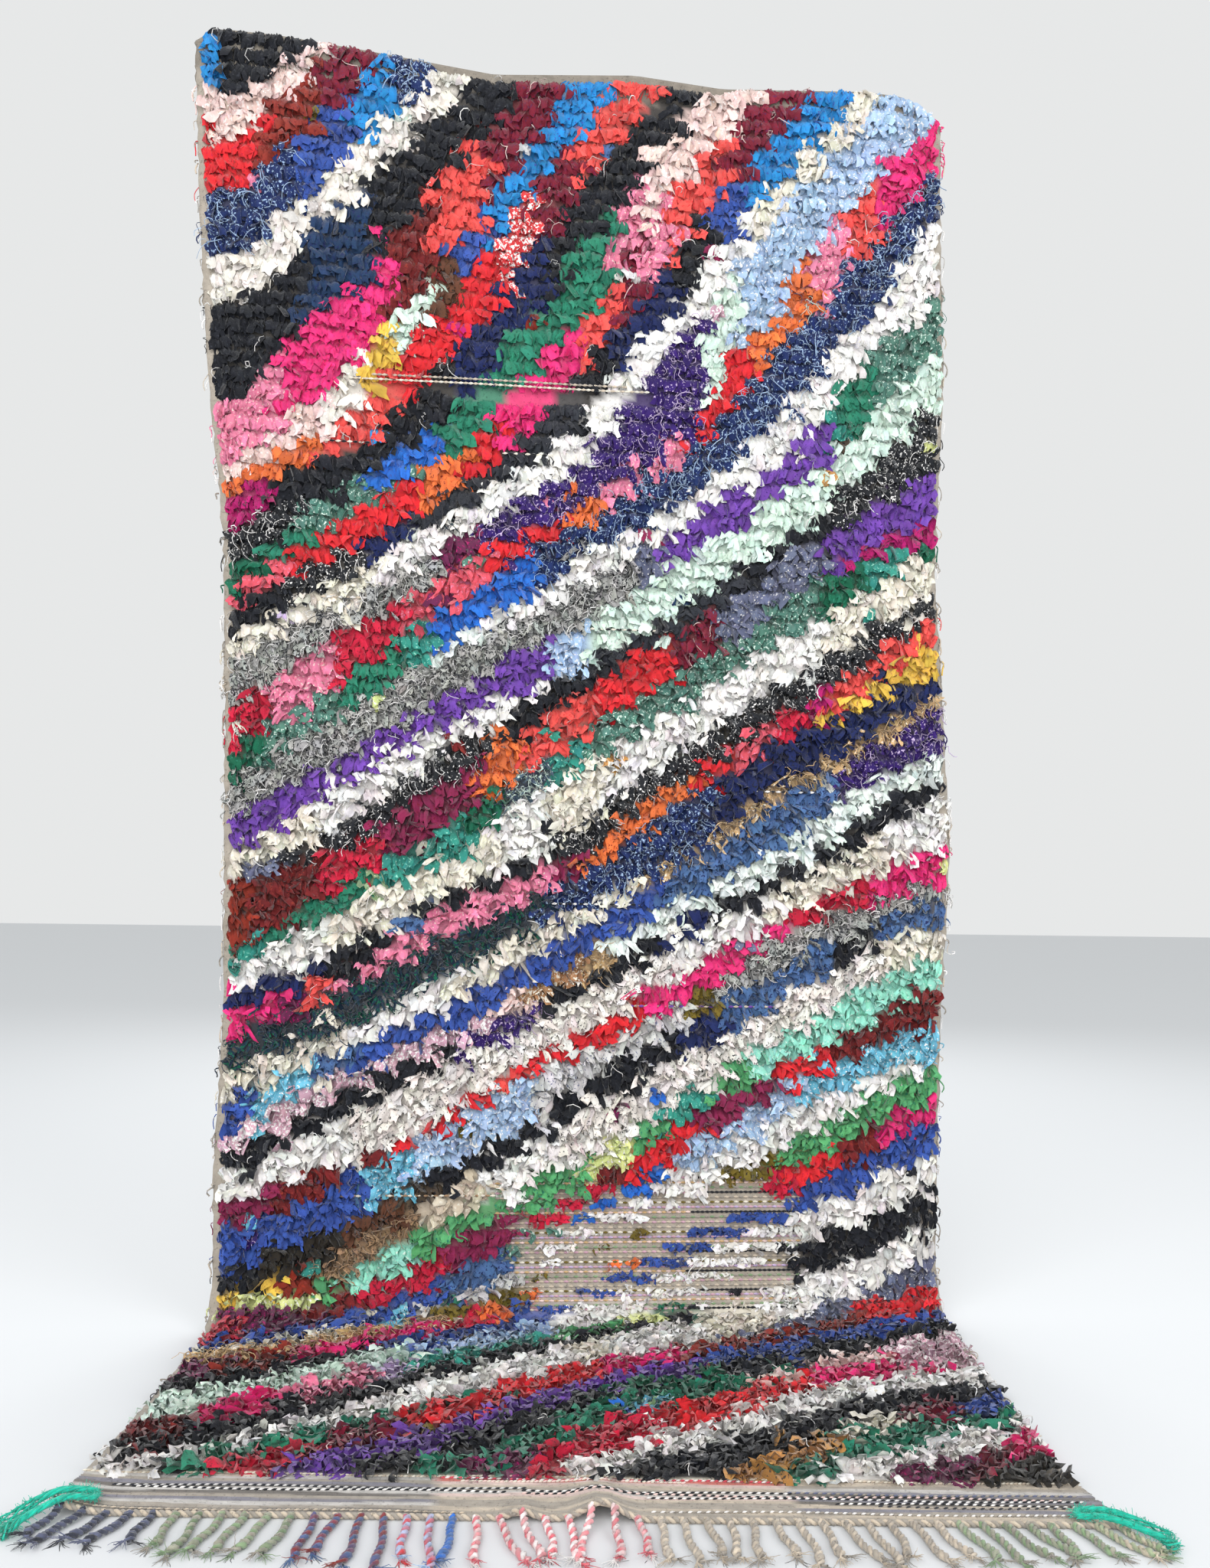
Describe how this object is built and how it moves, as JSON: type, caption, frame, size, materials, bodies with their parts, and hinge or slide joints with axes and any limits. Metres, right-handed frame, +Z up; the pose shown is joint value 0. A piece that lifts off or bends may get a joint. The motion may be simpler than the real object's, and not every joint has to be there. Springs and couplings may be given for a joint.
{
  "type": "boucherouite rug",
  "caption": "Knotted rag rug with diagonal stripes, hanging by its top edge and turning forward onto the floor, with a flat-woven end, a fringe and yarn ties.",
  "frame": {"origin": "middle of the footprint, on the floor", "axes": "+Z up; +X along the rows to the right of the face; the pile faces -Y and the lower end lies on the floor towards -Y"},
  "size_m": [1.4222, 0.9152, 2.2541],
  "materials": {
    "rags": "knotted strips of matt jersey and cotton rag in many colours, over a beige ribbed ground weave",
    "warp_yarn": "twisted cotton and wool yarn ends, beige, sage, dark grey and red with white",
    "turquoise_yarn": "bright turquoise synthetic yarn with frayed ends"
  },
  "bodies": {
    "root": {"rug": "rags", "fringe": "warp_yarn", "tie_left": "turquoise_yarn", "tie_right": "turquoise_yarn"}
  },
  "joints": []
}
